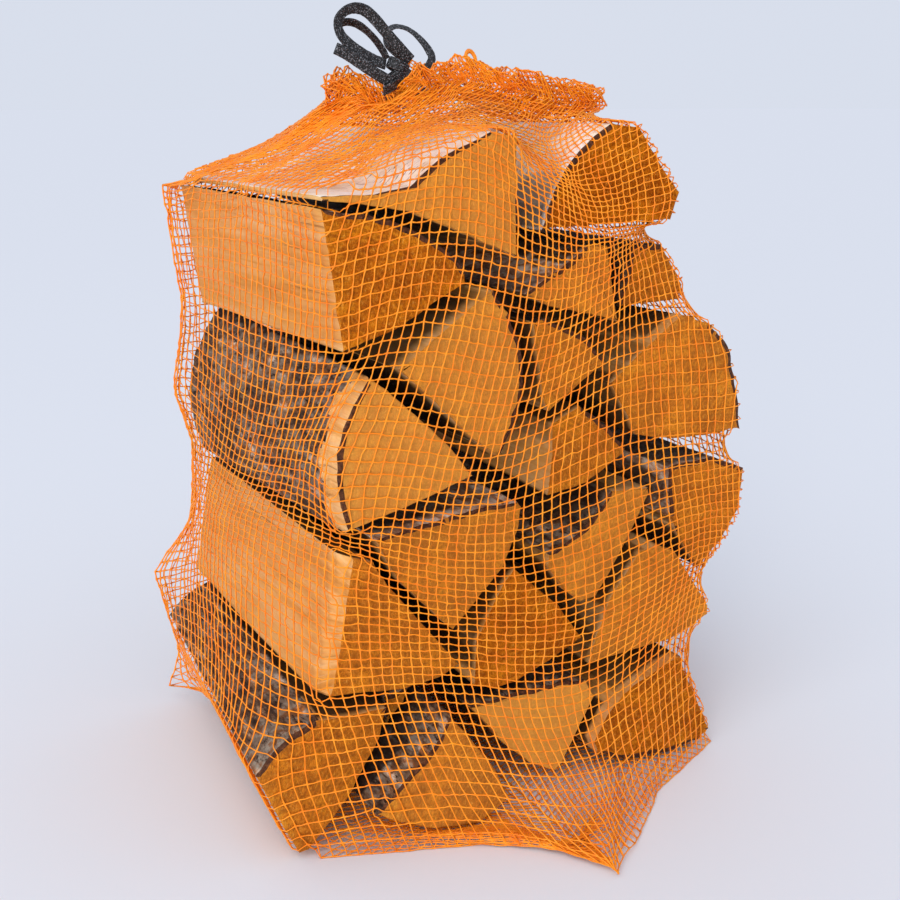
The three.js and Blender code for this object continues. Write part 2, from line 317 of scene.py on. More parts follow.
# ---------------------------------------------------------------- logs
# Which way the bark of each log faces, as angles of its outward side in the front view (0 to the right,
# 90 up), with its kind of bark, how light its ends are, and where its pith lies in its own box.
LOG_LOOKS = {
    "log_top_left": ("pink", 20, 100, 0.05, (0.1, 0.0)),
    "log_top_middle": ("white", 88, 178, 0.60, (1.0, 0.0)),
    "log_top_right": ("white", 110, 172, 0.0, (0.9, 0.0)),
    "log_upper_wedge": ("pink", 112, 130, 0.35, (1.0, 0.0)),
    "log_upper_recessed": ("dark", 80, 200, 0.10, (1.0, 0.0)),
    "log_right_high": ("dark", -10, 60, 0.20, (0.2, 0.9)),
    "log_small_wedge": ("dark", 30, 100, 0.25, (0.0, 0.0)),
    "log_centre_quarter": ("pink", -40, 40, 0.50, (0.0, 0.5)),
    "log_left_dark_bark": ("dark", 130, 235, 0.62, (1.0, 0.2)),
    "log_left_pale": ("none", 0, 0, 0.18, (0.0, 0.0)),
    "log_centre": ("pink", 70, 110, 0.30, (0.6, 0.0)),
    "log_centre_wedge": ("dark", 20, 80, 0.15, (0.0, 0.2)),
    "log_right_middle": ("pink", 60, 200, 0.20, (1.0, 0.2)),
    "log_lens": ("dark", 95, 150, 0.40, (1.0, 0.3)),
    "log_right_low": ("none", 0, 0, 0.35, (0.2, 0.0)),
    "log_low_wedge": ("none", 0, 0, 0.05, (0.2, 1.0)),
    "log_bottom_middle": ("dark", 70, 110, 0.80, (0.5, 0.0)),
    "log_bottom_right": ("dark", 230, 300, 0.05, (0.4, 1.0)),
    "log_bottom_left": ("dark", 95, 150, 0.15, (1.0, 0.1)),
    "log_bottom_centre": ("dark", 110, 160, 0.30, (1.0, 0.0)),
    "stick_between_logs": ("pink", 60, 200, 0.20, (0.5, 0.5)),
}
PEELED = {"log_left_dark_bark": 17.0}  # width of the band by the front end that has lost its bark, in mm
# How far daylight reaches in between the logs from their front ends before the painted shade starts, in mm
DAYLIGHT = {"log_centre_quarter": 12.0, "log_centre": 14.0, "log_bottom_middle": 9.0, "log_lens": 8.0}
USUAL_DAYLIGHT = 4.0
GAP_SHADE_DARKNESS = 0.96  # how dark the painted shade is in the gaps where logs lie close, from 0 to 1
# How wide and how deep the split off left edge of a log's end is, in mm
SPLINTERED = {"log_left_pale": (8.0, 12.0)}
# How far in front of a log's side another one lies, in mm, and how much of the daylight it takes, as painted
# shade
SHADES = ((4.0, 1.0), (9.0, 1.0), (16.0, 0.95), (25.0, 0.85), (36.0, 0.7), (50.0, 0.5))
END, SPLIT, BARK, RIM = range(4)


def object_from(bm, name, materials):
    mesh = bpy.data.meshes.new(name)
    bm.to_mesh(mesh)
    bm.free()
    piece = bpy.data.objects.new(name, mesh)
    bpy.context.scene.collection.objects.link(piece)
    for material in materials:
        mesh.materials.append(material)
    return piece


def is_cap_edge(edge):
    return abs(edge.verts[0].co.y - edge.verts[1].co.y) < 1.0 * MM


def gridded_log(node):
    """The log's CAD solid as a fine grid of four-sided faces on its sides, with one face on each end."""
    bm = bmesh.new()
    bm.from_mesh(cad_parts[node].data)
    bmesh.ops.remove_doubles(bm, verts=bm.verts, dist=0.01 * MM)
    on_ends = [edge for edge in bm.edges if all(abs(face.normal.y) > 0.99 for face in edge.link_faces)]
    bmesh.ops.dissolve_edges(bm, edges=on_ends)
    bmesh.ops.dissolve_limit(bm, angle_limit=math.radians(0.4), verts=bm.verts, edges=bm.edges)
    sides = [face for face in bm.faces if abs(face.normal.y) < 0.7]
    for side in list(sides):
        short = [edge for edge in side.edges if is_cap_edge(edge)]
        longest = max((edge.calc_length() for edge in short), default=0.0)
        cuts = round(longest / OUTLINE_STEP) - 1
        if cuts > 0 and len(short) == 2:
            bmesh.ops.subdivide_edges(bm, edges=short, cuts=cuts)
    running = [edge for edge in bm.edges if not is_cap_edge(edge)]
    cuts = round(max(edge.calc_length() for edge in running) / LENGTH_STEP) - 1
    bmesh.ops.subdivide_edges(bm, edges=running, cuts=cuts, use_grid_fill=True)
    bm.normal_update()
    return bm


def angle_between(angle, low, high):
    return (angle - low) % 360 <= (high - low) % 360


def around_log(bm, low, high):
    """The outline's middle, its points' directions from there and places along it, and its length."""
    middle = ((low.x + high.x) / 2, (low.z + high.z) / 2)
    near_end = min(bm.faces, key=lambda face: face.calc_center_median().y)
    ring = sorted(near_end.verts, key=lambda vert: math.atan2(vert.co.z - middle[1], vert.co.x - middle[0]))
    turns = [math.atan2(vert.co.z - middle[1], vert.co.x - middle[0]) for vert in ring]
    steps = [(ring[i].co - ring[i - 1].co).length for i in range(len(ring))]
    along = np.cumsum(steps) - steps[0]
    whole = float(sum(steps))
    return middle, np.array(turns), along, whole


def shut_in_share(node, points, normals):
    """How much painted shade points on a log get: from 0, open, to 1, with another log right in front of it.
    """
    hidden = np.zeros(len(points))
    for away, share in SHADES:
        probe = points + normals * away
        for other, (sides, low, high) in SOLIDS.items():
            if other == node:
                continue
            inside = np.nonzero(((probe > low) & (probe < high)).all(axis=1))[0]
            if len(inside):
                hit = inside[(probe[inside] @ sides[:, :3].T - sides[:, 3]).max(axis=1) < 0]
                hidden[hit] = np.maximum(hidden[hit], share)
    return hidden


def is_by_bark(end_face, has_bark, bark_from, bark_to):
    """Whether a face along the rim of a log's end lies beside a side that has, or had, bark."""
    around = {other for edge in end_face.edges for other in edge.link_faces}
    sides = [side for side in around if side.material_index in (SPLIT, BARK)]
    facings = [math.degrees(math.atan2(side.normal.z, side.normal.x)) for side in sides]
    return has_bark and any(angle_between(facing, bark_from, bark_to) for facing in facings)


def inset_towards_middle(bm, cap, thickness):
    """A ring of faces around a log's end, that stays even in its sharp corners."""
    ring = bmesh.ops.inset_region(bm, faces=[cap], thickness=0.01 * MM, depth=0.0)["faces"]
    middle = cap.calc_center_median()
    for vert in cap.verts:
        arm = vert.co - middle
        vert.co = middle + arm * (1.0 - thickness / max(arm.length, 3 * thickness))
    return ring


def build_log(node, finishes):
    kind, bark_from, bark_to, light, pith = LOG_LOOKS[node]
    peel = PEELED.get(node, 0.0)
    seed = sorted(LOG_LOOKS).index(node)
    low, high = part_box(node)
    pith_x = low.x + pith[0] * (high.x - low.x)
    pith_z = low.z + pith[1] * (high.z - low.z)
    bm = gridded_log(node)
    middle, turns, along, whole = around_log(bm, low, high)
    front = low.y
    bm.normal_update()
    if node in SPLINTERED:
        wide, deep = (size * MM for size in SPLINTERED[node])
        left = min(bm.faces, key=lambda face: face.normal.x)
        facing, place = left.normal.copy(), left.calc_center_median()
        for vert in bm.verts:
            inwards = (place - vert.co).dot(facing) / (3 * wide)
            lost = wide * max(0.0, 1.0 - inwards) * max(0.0, 1.0 - (vert.co.y - front) / deep)
            vert.co -= facing * lost
    has_bark = kind != "none"
    for face in bm.faces:
        face.smooth = True
        if abs(face.normal.y) > 0.7:
            face.material_index = END
            face.smooth = False
            continue
        facing = math.degrees(math.atan2(face.normal.z, face.normal.x))
        barked = has_bark and angle_between(facing, bark_from, bark_to)
        if barked and peel:
            co = face.calc_center_median()
            ragged = peel * (1.0 + 0.35 * noise.noise(Vector((co.x, co.z, seed)) * 60.0))
            barked = co.y - front > ragged * MM
        face.material_index = BARK if barked else SPLIT
    bm.normal_update()
    # relief, which goes inwards but for ridges of up to 0.6 mm on the split sides
    moves = {}
    for vert in bm.verts:
        kinds = {face.material_index for face in vert.link_faces}
        co = vert.co
        side = Vector((vert.normal.x, 0.0, vert.normal.z))
        if side.length < 0.3:
            continue
        if BARK in kinds and SPLIT not in kinds:
            rough = noise.fractal(Vector((co.x, co.y * 0.6, co.z)) * 95.0 + Vector((seed, 0, 0)), 1.0, 2.0, 4)
            amount = (0.6 if kind == "white" else 1.3) * MM * min(rough, 0.5) - 0.7 * MM
        elif SPLIT in kinds and BARK not in kinds:
            ridge = noise.noise(Vector((co.x * 140.0 + seed, co.y * 6.0, co.z * 140.0)))
            wave = noise.noise(Vector((co.x * 14.0 + seed, co.y * 9.0, co.z * 14.0)))
            amount = 0.6 * MM * ridge + 1.4 * MM * wave - 1.4 * MM
            if peel and angle_between(math.degrees(math.atan2(side.z, side.x)), bark_from, bark_to):
                amount -= 1.6 * MM
        else:
            amount = 0.6 * MM * noise.noise(co * 60.0) - 0.8 * MM
        moves[vert] = side.normalized() * amount
    for vert, move in moves.items():
        vert.co += move
    # ends: a broken edge, then a rim under the bark
    for cap in [face for face in bm.faces if face.material_index == END]:
        broken = inset_towards_middle(bm, cap, 0.8 * MM)
        away = 1.0 if cap.normal.y > 0 else -1.0
        ring = inset_towards_middle(bm, cap, BARK_THICK if has_bark else BARE_RIM)
        barked = {face for face in broken if is_by_bark(face, has_bark, bark_from, bark_to)}
        under = {face for face in ring if any(other in barked for e in face.edges for other in e.link_faces)}
        for face in barked | under:
            face.material_index = RIM
        outer = {vert for face in ring for vert in face.verts} - set(cap.verts)
        edge = {v for vert in outer for e in vert.link_edges for v in e.verts} - outer - set(cap.verts)
        for vert in edge:
            if abs(vert.co.y - (low.y if away < 0 else high.y)) < 0.4 * MM:
                chip = max(0.0, noise.noise(vert.co * 70.0 + Vector((seed, 0, 0))))
                vert.co.y -= away * (0.7 + 3.0 * chip**2) * MM
    # map
    shift = 0.37 * seed
    uv = bm.loops.layers.uv.new("skin")
    bm.normal_update()
    for face in bm.faces:
        if abs(face.normal.y) > 0.75:
            for loop in face.loops:
                loop[uv].uv = (loop.vert.co.x - pith_x, loop.vert.co.z - pith_z)
            continue
        places = []
        for loop in face.loops:
            turn = math.atan2(loop.vert.co.z - middle[1], loop.vert.co.x - middle[0])
            places.append(float(np.interp(turn, turns, along)))
        for loop, place in zip(face.loops, places):
            if max(places) - place > whole / 2:
                place += whole
            loop[uv].uv = (place + shift, loop.vert.co.y + shift)
    materials = [finishes["end"], finishes["split"], finishes[kind if has_bark else "dark"], finishes["rim"]]
    piece = object_from(bm, node + "_wood", materials)
    points = np.array([vertex.co[:] for vertex in piece.data.vertices]) / MM + ORIGIN
    shade = piece.data.attributes.new("tone", "FLOAT", "POINT")
    shade.data.foreach_set("value", [light] * len(points))
    normals = np.array([vertex.normal[:] for vertex in piece.data.vertices])
    normals[:, 1] = 0.0
    normals /= np.maximum(np.linalg.norm(normals, axis=1, keepdims=True), 1e-6)
    # painted shade in the gaps: how much the logs close in front hide each point, kept on the mesh for the
    # materials
    hidden = shut_in_share(node, points, normals)
    # the painted shade fades out towards the front end, where daylight reaches in
    inward = points[:, 1] - (front / MM + ORIGIN[1])
    hidden *= np.clip(inward / DAYLIGHT.get(node, USUAL_DAYLIGHT) - 0.35, 0.0, 1.0)
    shut = piece.data.attributes.new("painted_gap_shade", "FLOAT", "POINT")
    shut.data.foreach_set("value", hidden)
    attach(piece, "root")
    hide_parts(node)


# ---------------------------------------------------------------- the net bag
WALES = 156  # strands that run up the bag
SEAM_ROWS = 24  # rows of cells from the seam under the bag to its bottom edge
BODY_ROWS = 88  # from there to the drawstring
HEM_ROWS = 5  # above the drawstring
GATHER_ROW = SEAM_ROWS + BODY_ROWS
ROWS = GATHER_ROW + HEM_ROWS
CLEAR = 1.5  # between the strands' middle lines and the wood
FLOOR_CLEAR = 0.8  # between the strands' middle lines and the ground
RISE = 585.0  # from the bottom edge to the drawstring along the net
RELAX_TURNS, DRIFT_TURNS = 260, 200  # rounds of drawing the net tight, and those in which it also drifts
UP_THICK = 1.05  # the strands that run up the bag, and those that run around it
ACROSS_THICK = 0.95
AT_KNOTS, BETWEEN_KNOTS = 1.30, 0.82  # shares of a strand's thickness
ORIGIN = np.array([164.0, 68.5, 0.0])  # the middle of the bag's bottom from the stack's front left corner
# The net's lowest edge on the ground, with the corner that is pulled out in front, from there leftwards
BOTTOM_EDGE = [
    (165, -121), (161, -104), (147, -79), (108, -45), (0, -4), (-8, 40), (-4, 184), (8, 250),
    (334, 246), (336, -8), (254, -47), (196, -100),
]
SEAM = [(165, -119), (165, 248)]
# Top edge of the gathered mouth along the drawstring, left to right: x, y and height
MOUTH = [
    (84, 122, 480), (95, 121, 489), (108, 119, 484), (122, 115, 472), (131, 112, 480),
    (142, 108, 494), (152, 106, 489), (166, 104, 494), (185, 100, 493), (205, 93, 489),
    (222, 87, 486), (240, 81, 479), (258, 74, 480), (270, 70, 478),
]
# Folds that the net is drawn into: from, to, how far they reach and how hard they pull
FOLDS = [
    ((33, -3, 196), (26, -3, 150), 9.0, 0.75), ((26, -3, 150), (16, -3, 106), 8.0, 0.7),
    ((165, -118, 4), (214, -12, 44), 16.0, 0.6), ((165, -118, 4), (246, -10, 16), 18.0, 0.55),
    ((165, -118, 4), (120, -20, 14), 14.0, 0.5), ((96, 118, 474), (22, 214, 414), 16.0, 0.6),
    ((100, 112, 474), (30, 120, 414), 18.0, 0.6), ((112, 106, 470), (60, 20, 418), 14.0, 0.5),
    ((160, 96, 480), (150, 0, 454), 12.0, 0.5), ((205, 84, 474), (196, 0, 420), 14.0, 0.5),
    ((264, 70, 466), (276, -3, 408), 12.0, 0.55), ((200, 100, 476), (214, 250, 440), 18.0, 0.5),
    ((-2, 256, 106), (10, 256, 20), 9.0, 0.5), ((28, 257, 300), (12, 257, 250), 8.0, 0.5),
]
# The crease at the back on the left: height and x
CREASE = [(8, -4), (43, 6), (111, -10), (151, 24), (215, 28), (261, 14), (321, 26), (375, 20), (410, 16)]


def cad_points(node):
    return np.array([vertex.co[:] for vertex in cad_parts[node].data.vertices]) / MM + ORIGIN


def log_planes(node):
    """Normals and offsets of the flat sides around a log."""
    bm = bmesh.new()
    bm.from_mesh(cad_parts[node].data)
    bmesh.ops.remove_doubles(bm, verts=bm.verts, dist=0.01 * MM)
    hull = bmesh.ops.convex_hull(bm, input=bm.verts)
    faces = {item for item in hull["geom"] if isinstance(item, bmesh.types.BMFace)}
    rows = set()
    for face in faces:
        normal = face.normal
        point = np.array(face.verts[0].co[:]) / MM + ORIGIN
        rows.add((*(round(part, 4) for part in normal), round(float(point @ np.array(normal)), 2)))
    bm.free()
    planes = np.array(sorted(rows))
    lengths = np.linalg.norm(planes[:, :3], axis=1)
    return planes / lengths[:, None]


def outline(points, grow):
    """The outline around points on a plane, grown, anticlockwise."""
    turns = np.linspace(0.0, 2 * math.pi, 12, endpoint=False)
    ring = np.stack([np.cos(turns), np.sin(turns)], axis=1) * grow
    points = sorted(map(tuple, (points[:, None, :] + ring[None]).reshape(-1, 2)))

    def half(points):
        chain = []
        for p in points:
            while len(chain) > 1:
                a, b = chain[-2], chain[-1]
                if (b[0] - a[0]) * (p[1] - a[1]) - (b[1] - a[1]) * (p[0] - a[0]) > 0:
                    break
                chain.pop()
            chain.append(p)
        return chain[:-1]

    return np.array(half(points) + half(points[::-1]))


def section(shapes, height):
    """Where the logs' edges cross a height."""
    found = []
    for points, edges in shapes:
        a, b = points[edges[:, 0]], points[edges[:, 1]]
        crossing = (a[:, 2] - height) * (b[:, 2] - height) <= 0
        a, b = a[crossing], b[crossing]
        rise = b[:, 2] - a[:, 2]
        share = np.where(np.abs(rise) > 1e-6, (height - a[:, 2]) / np.where(rise == 0, 1, rise), 0.5)
        found.append((a + (b - a) * share[:, None])[:, :2])
    return np.concatenate(found)


def spread_ring(ring, start):
    """WALES points evenly around a closed line, clockwise from above, from its place nearest to start."""
    ring = np.asarray(ring, dtype=float)
    closed = np.concatenate([ring, ring[:1]])
    steps = np.linalg.norm(np.diff(closed, axis=0), axis=1)
    along = np.concatenate([[0.0], np.cumsum(steps)])
    fine = np.linspace(0.0, along[-1], 4000, endpoint=False)
    line = np.stack([np.interp(fine, along, closed[:, axis]) for axis in range(ring.shape[1])], axis=1)
    area = (closed[:-1, 0] * closed[1:, 1] - closed[1:, 0] * closed[:-1, 1]).sum()
    if area > 0:
        line = line[::-1]
    first = np.argmin(np.hypot(line[:, 0] - start[0], line[:, 1] - start[1]))
    line = np.roll(line, -first, axis=0)
    return line[np.arange(WALES) * len(line) // WALES]


def level(ring, height):
    return np.column_stack([ring[:, :2], np.full(len(ring), float(height))])


def smooth_field(rng, octaves):
    """A field over the net's rows and wales that closes around the bag: a sum of soft waves."""
    field = np.zeros((ROWS, WALES))
    v = np.arange(ROWS)[:, None]
    u = np.arange(WALES)[None, :]
    for wave, strength in octaves:
        for _ in range(10):
            around = round(rng.normal(0.0, 0.6) * WALES / wave)
            up = rng.normal(0.0, 0.6) * 2 * math.pi / wave
            field += strength * 0.4 * np.cos(2 * math.pi * around * u / WALES + up * v + rng.uniform(0, 6.28))
    return field


def mouth_loop(lift, half_depth):
    """The gathered mouth as a loop around the line of the drawstring."""
    line = np.array(MOUTH, dtype=float)
    way = np.array([270.0 - 84.0, 70.0 - 122.0])
    side = np.array([way[1], -way[0]]) / np.hypot(*way)
    turns = np.linspace(0.0, 2 * math.pi, 240, endpoint=False)
    middle, reach = (line[0, 0] + line[-1, 0]) / 2, (line[-1, 0] - line[0, 0]) / 2
    x = middle + reach * np.cos(turns)
    y = np.interp(x, line[:, 0], line[:, 1])
    depth = half_depth * np.sign(np.sin(turns)) * np.abs(np.sin(turns)) ** 0.6
    z = np.interp(x, line[:, 0], line[:, 2]) + lift
    return np.column_stack([x + side[0] * depth, y + side[1] * depth, z])


def side_ways(net):
    """The level direction that points out of or into the net at each knot."""
    way = np.roll(net, -1, axis=1) - np.roll(net, 1, axis=1)
    out = np.stack([-way[..., 1], way[..., 0], np.zeros(way.shape[:2])], axis=2)
    return out / np.maximum(np.linalg.norm(out, axis=2, keepdims=True), 1e-9)


def net_surface():
    """The bag's rows and wales, drawn tight around the logs, in millimetres from the stack's corner."""
    rng = np.random.default_rng(7)
    shapes = []
    for node in LOG_LOOKS:
        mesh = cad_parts[node].data
        shapes.append((cad_points(node), np.array([edge.vertices[:] for edge in mesh.edges])))
    front = (165.0, -200.0)
    seam = np.array(SEAM, dtype=float)
    half = np.linspace(0.0, 1.0, WALES // 2, endpoint=False) ** 1.25
    seam_line = seam[0] + (seam[1] - seam[0]) * np.concatenate([half, 1.0 - half])[:, None]
    rings = [(0, level(seam_line, 1.0)), (SEAM_ROWS, level(spread_ring(BOTTOM_EDGE, front), FLOOR_CLEAR))]
    for height in range(30, 391, 30):
        row = SEAM_ROWS + BODY_ROWS * height / RISE
        rings.append((row, level(spread_ring(outline(section(shapes, height), 7.0), front), height)))
    for height, cut, rise in ((424, 400, 440.0), (462, 435, 520.0)):
        row = SEAM_ROWS + BODY_ROWS * rise / RISE
        rings.append((row, level(spread_ring(outline(section(shapes, cut), 9.0), front), height)))
    rings.append((GATHER_ROW, spread_ring(mouth_loop(-12.0, 12.0), front)))
    rings.append((ROWS - 1, spread_ring(mouth_loop(0.0, 15.0), front)))
    places = [place for place, _ in rings]
    stack = np.stack([ring for _, ring in rings])
    rows = np.arange(ROWS)
    net = np.empty((ROWS, WALES, 3))
    for wale in range(WALES):
        for axis in range(3):
            net[:, wale, axis] = np.interp(rows, places, stack[:, wale, axis])
    # what is held: seam, mouth, the pulled-out corner and the crease
    held = np.zeros((ROWS, WALES), dtype=bool)
    held[0] = True
    held[GATHER_ROW:] = True
    held[SEAM_ROWS] = net[SEAM_ROWS, :, 1] < -6.0
    crease = np.array(CREASE, dtype=float)
    corner = int(np.argmin(np.abs(net[SEAM_ROWS + 40, :, 0] - 10) + np.abs(net[SEAM_ROWS + 40, :, 1] - 256)))
    for row in range(SEAM_ROWS + 2, GATHER_ROW - 24):
        x = np.interp(net[row, corner, 2], crease[:, 0], crease[:, 1])
        net[row, corner, :2] = x - 4.0, 257.0
        held[row, corner] = True
    drift = np.stack([smooth_field(rng, ((30.0, 0.5), (13.0, 0.8))) for _ in range(3)], axis=2)
    drift -= 0.8 * side_ways(net) * (drift * side_ways(net)).sum(axis=2, keepdims=True)
    free = ~held[1:-1]
    for turn in range(RELAX_TURNS):
        mean = (net[2:] + net[:-2] + np.roll(net, 1, axis=1)[1:-1] + np.roll(net, -1, axis=1)[1:-1]) / 4
        step = mean - net[1:-1]
        if turn < DRIFT_TURNS:
            step = step + 0.25 * drift[1:-1]
        net[1:-1][free] += 0.95 * step[free]
        if turn % 2 == 0 or turn > DRIFT_TURNS:
            push_out(net)
        net[..., 2] = np.maximum(net[..., 2], FLOOR_CLEAR)
    rows = slice(SEAM_ROWS + 8, GATHER_ROW - 22)
    for aside in (-4, -3, -2, -1, 1, 2, 3, 4):
        pull = 0.5 * math.exp(-aside * aside / 9.0)
        net[rows, corner + aside] += pull * (net[rows, corner] - net[rows, corner + aside])
    for start, end, reach, pull in FOLDS:
        start, end = np.array(start, dtype=float), np.array(end, dtype=float)
        run = end - start
        share = np.clip(((net - start) @ run) / (run @ run), 0.0, 1.0)
        away = start + share[..., None] * run - net
        weight = pull * np.exp(-((np.linalg.norm(away, axis=2) / reach) ** 2))
        weight[GATHER_ROW:] = 0.0
        net += away * weight[..., None]
    # pleats into the mouth, growing over the last rows
    outward = side_ways(net)
    centre = net[GATHER_ROW].mean(axis=0)
    facing = ((net - centre) * outward).sum(axis=2, keepdims=True)
    outward *= np.where(facing < 0, -1.0, 1.0)
    near = np.clip((np.arange(ROWS) - (GATHER_ROW - 12)) / 12.0, 0.0, 1.3)
    around = 2 * math.pi * np.arange(WALES) / WALES
    phase = 23 * around + 2.6 * np.sin(5 * around) + 1.7 * np.sin(9 * around + 2.0)
    sizes = 1.0 + 0.6 * np.sin(4 * around + 1.0) + 0.3 * np.sin(11 * around)
    pleat = (3.2 * near**1.6)[:, None] * (np.cos(phase) * sizes)[None, :]
    net += outward * pleat[..., None]
    frill = np.clip(np.arange(ROWS) - GATHER_ROW, 0, None) / HEM_ROWS
    wavy = 3.0 * np.sin(7 * around + 0.8) + 2.4 * np.cos(phase * 0.7) + 1.2 * np.cos(31 * around)
    net[..., 2] += frill[:, None] * wavy[None, :]
    net += rng.normal(0.0, 0.30, net.shape)
    push_out(net)
    net[..., 2] = np.maximum(net[..., 2], FLOOR_CLEAR)
    return net, corner


def push_out(net):
    """Moves points out of the logs, through the nearest flat side."""
    flat = net.reshape(-1, 3)
    for sides, low, high in SOLIDS.values():
        inside = np.nonzero(((flat > low - CLEAR) & (flat < high + CLEAR)).all(axis=1))[0]
        if not len(inside):
            continue
        depth = flat[inside] @ sides[:, :3].T - sides[:, 3] - CLEAR
        nearest = depth.argmax(axis=1)
        most = depth[np.arange(len(inside)), nearest]
        hit = most < 0
        flat[inside[hit]] -= sides[nearest[hit], :3] * most[hit, None]


def strands_object(name, lines, material):
    """Polylines with a radius at each point as one mesh of thin closed tubes."""
    curve = bpy.data.curves.new(name, "CURVE")
    curve.dimensions = "3D"
    curve.bevel_depth = MM / 2
    curve.bevel_resolution = 0
    curve.use_fill_caps = True
    for points, radii in lines:
        spline = curve.splines.new("POLY")
        spline.points.add(len(points) - 1)
        co = np.column_stack([(points - ORIGIN) * MM, np.ones(len(points))])
        spline.points.foreach_set("co", co.ravel())
        spline.points.foreach_set("radius", radii)
    maker = bpy.data.objects.new(name + "_line", curve)
    bpy.context.scene.collection.objects.link(maker)
    bpy.context.view_layer.update()
    mesh = bpy.data.meshes.new_from_object(maker.evaluated_get(bpy.context.evaluated_depsgraph_get()))
    bpy.data.objects.remove(maker)
    bpy.data.curves.remove(curve)
    mesh.name = name
    bm = bmesh.new()
    bm.from_mesh(mesh)
    bmesh.ops.remove_doubles(bm, verts=bm.verts, dist=0.002 * MM)
    bm.to_mesh(mesh)
    bm.free()
    mesh.materials.clear()
    mesh.materials.append(material)
    mesh.shade_smooth()
    piece = bpy.data.objects.new(name, mesh)
    bpy.context.scene.collection.objects.link(piece)
    return piece


def wrapped(line, radii):
    """A strand with more points where it turns around the edge of a log."""
    for _ in range(2):
        middles = (line[1:] + line[:-1]) / 2
        moved = middles.copy()
        push_out(moved)
        moved[:, 2] = np.maximum(moved[:, 2], FLOOR_CLEAR)
        bent = np.linalg.norm(moved - middles, axis=1) > 0.3
        places = np.nonzero(bent)[0] + 1
        line = np.insert(line, places, moved[bent], axis=0)
        radii = np.insert(radii, places, radii.min())
    return line, radii


def strand(points, rng, bow, thick):
    """A line through knots, with a point between each two, thick at the knots."""
    middles = (points[1:] + points[:-1]) / 2 + rng.normal(0.0, 0.22, (len(points) - 1, 3)) + bow
    push_out(middles)
    middles[:, 2] = np.maximum(middles[:, 2], FLOOR_CLEAR)
    line = np.empty((2 * len(points) - 1, 3))
    line[0::2] = points
    line[1::2] = middles
    radii = np.where(np.arange(len(line)) % 2 == 0, AT_KNOTS, BETWEEN_KNOTS) * thick
    return wrapped(line, radii)


def build_lining(net, rng, plastic):
    """The hem that is turned in at the mouth, half a cell out of step with the net outside it."""
    low = GATHER_ROW - 3
    rim = (net[low:] + np.roll(net[low:], 1, axis=1)) / 2
    middle = rim.mean(axis=1, keepdims=True)
    inner = rim + (middle - rim) * 0.07 + rng.normal(0.0, 0.6, rim.shape)
    inner[..., 2] += np.linspace(-1.0, 1.2, len(inner))[:, None]
    loop = np.concatenate([inner, inner[:, :1]], axis=1)
    lines = [strand(inner[:, w], rng, 0.0, UP_THICK) for w in range(WALES)]
    lines += [strand(ring, rng, 0.0, 1.2 * ACROSS_THICK) for ring in loop]
    lining = strands_object("net_hem_lining", lines, plastic)
    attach(lining, "root")
    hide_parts("net_bag")
    return lining


def build_net():
    net, corner = net_surface()
    rng = np.random.default_rng(11)
    plastic = net_plastic()
    quarter = WALES // 4
    for place, first in (("front_left", 3), ("front_right", 0), ("back_right", 1), ("back_left", 2)):
        wales = np.arange(first * quarter, (first + 1) * quarter)
        lines = [strand(net[:, w], rng, 0.0, UP_THICK * (1.5 if abs(w - corner) < 2 else 1.0)) for w in wales]
        span = np.append(wales, wales[-1] + 1) % WALES
        sag = np.array([0.0, 0.0, -0.25])
        lines += [strand(net[row, span], rng, sag, ACROSS_THICK) for row in range(ROWS)]
        if place == "front_right":
            lines.append(loose_thread())
        panel = strands_object(f"net_{place}", lines, plastic)
        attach(panel, "root")
        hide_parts("net_bag")
    lining = build_lining(net, rng, plastic)


def loose_thread():
    """A curl of loose thread that stands up from the mouth."""
    turn = np.linspace(0.0, 5 * math.pi, 46)
    size = 4.2 + 0.5 * np.sin(1.3 * turn)
    x, y, z = 179 + size * np.cos(turn), 95 + 2.5 * np.sin(turn + 0.6), 497 + size * np.sin(turn)
    curl = np.column_stack([x, y, z])
    return curl, np.full(len(curl), 2.4)


def net_plastic():
    n = Nodes("orange_net_plastic")
    place = n.add("ShaderNodeTexCoord").outputs["Object"]
    cloud = n.noise(place, 60.0, 3.0)
    base = n.ramp(cloud, (0.35, (0.90, 0.215, 0.004)), (0.65, (0.96, 0.32, 0.012)))
    ribs = n.noise(place, 1500.0, 2.0)
    return n.finish(base, 0.42, n.bump(ribs, 0.0002, 0.5), specular=0.3)


# ---------------------------------------------------------------- the drawstring
TAPE_WIDTH = 7.5
TAPE_THICK = 1.5
# Routes of its free stretches, each as x, y and height
LOOP_LEFT_OUTER = [
    (139, 105, 495), (133, 104, 500), (126, 103, 506), (119, 103, 513), (112, 103, 520), (105, 103, 525),
    (97, 103, 526), (90, 103, 523), (86, 103, 517), (88, 103, 510), (94, 103, 504), (102, 103, 499),
    (111, 104, 495), (120, 104, 492),
]
LOOP_LEFT_INNER = [
    (128, 118, 496), (125, 119, 502), (120, 119, 508), (113, 119, 514), (105, 119, 518), (97, 119, 518),
    (93, 119, 513), (97, 119, 507), (104, 119, 502), (112, 119, 497), (120, 118, 492),
]
LOOP_RIGHT = [
    (140, 114, 496), (135, 119, 500), (131, 123, 506), (132, 125, 513), (138, 126, 517), (147, 126, 516),
    (155, 125, 511), (161, 123, 504), (163, 120, 497), (157, 116, 490), (148, 112, 486),
]
END_LONG = [
    (121, 97, 480), (115, 96, 483), (109, 96, 486), (102, 96, 490), (95, 96, 494), (88, 96, 498),
    (81, 96, 501),
]
KNOT = (131, 108, 488)


